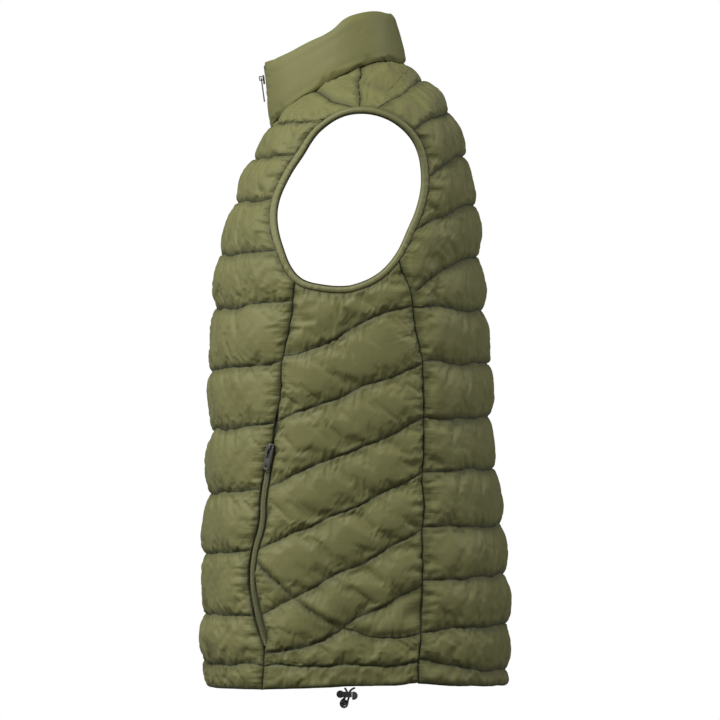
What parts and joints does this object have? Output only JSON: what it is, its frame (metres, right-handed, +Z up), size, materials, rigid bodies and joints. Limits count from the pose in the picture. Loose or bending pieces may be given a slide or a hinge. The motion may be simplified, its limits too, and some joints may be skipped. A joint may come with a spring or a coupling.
{
  "type": "puffer vest",
  "caption": "Sleeveless quilted puffer vest, worn shape, with stand collar, full front zip, zipped side pockets, bound armholes and a hem drawcord.",
  "frame": {"origin": "midway between the two shoulder seats, at the shoulder seams' depth, where the wearer carries the vest", "axes": "+Z up, the front faces -Y, +X towards the wearer's left"},
  "size_m": [0.4106, 0.3496, 0.7859],
  "materials": {
    "shell_nylon": "satin",
    "trim_nylon": "satin",
    "zip_tape": "matte",
    "zip_metal": "satin",
    "elastic_cord": "matte",
    "lock_plastic": "satin"
  },
  "bodies": {
    "vest": {"front_left": "shell_nylon", "front_right": "shell_nylon", "side_left": "shell_nylon", "side_right": "shell_nylon", "back": "shell_nylon", "collar": "shell_nylon", "binding_left": "trim_nylon", "binding_right": "trim_nylon", "front_zip": "zip_tape", "front_zip_box": "zip_metal", "front_slider": "zip_metal", "pocket_zip_left": "zip_tape", "pocket_slider_left": "zip_metal", "pocket_zip_right": "zip_tape", "pocket_slider_right": "zip_metal", "drawcord": "elastic_cord", "cord_lock": "lock_plastic", "cord_lock_button": "lock_plastic", "drawcord_knot": "elastic_cord"},
    "front_pull_tab": {"front_pull": "zip_metal"},
    "left_pocket_pull_tab": {"pocket_pull_left": "zip_metal"},
    "right_pocket_pull_tab": {"pocket_pull_right": "zip_metal"}
  },
  "joints": [
    {"name": "front_pull_swing", "type": "hinge", "parent": "vest", "child": "front_pull_tab", "pos_m": [0, -0.1119, 0.01436], "axis": [-1, 0, 0], "range_deg": [0, 150]},
    {"name": "left_pocket_pull_swing", "type": "hinge", "parent": "vest", "child": "left_pocket_pull_tab", "pos_m": [0.17648, -0.1013, -0.402], "axis": [-0.5288, -0.8203, 0.2177], "range_deg": [0, 150]},
    {"name": "right_pocket_pull_swing", "type": "hinge", "parent": "vest", "child": "right_pocket_pull_tab", "pos_m": [-0.17648, -0.1013, -0.402], "axis": [-0.5288, 0.8203, -0.2177], "range_deg": [0, 150]}
  ]
}
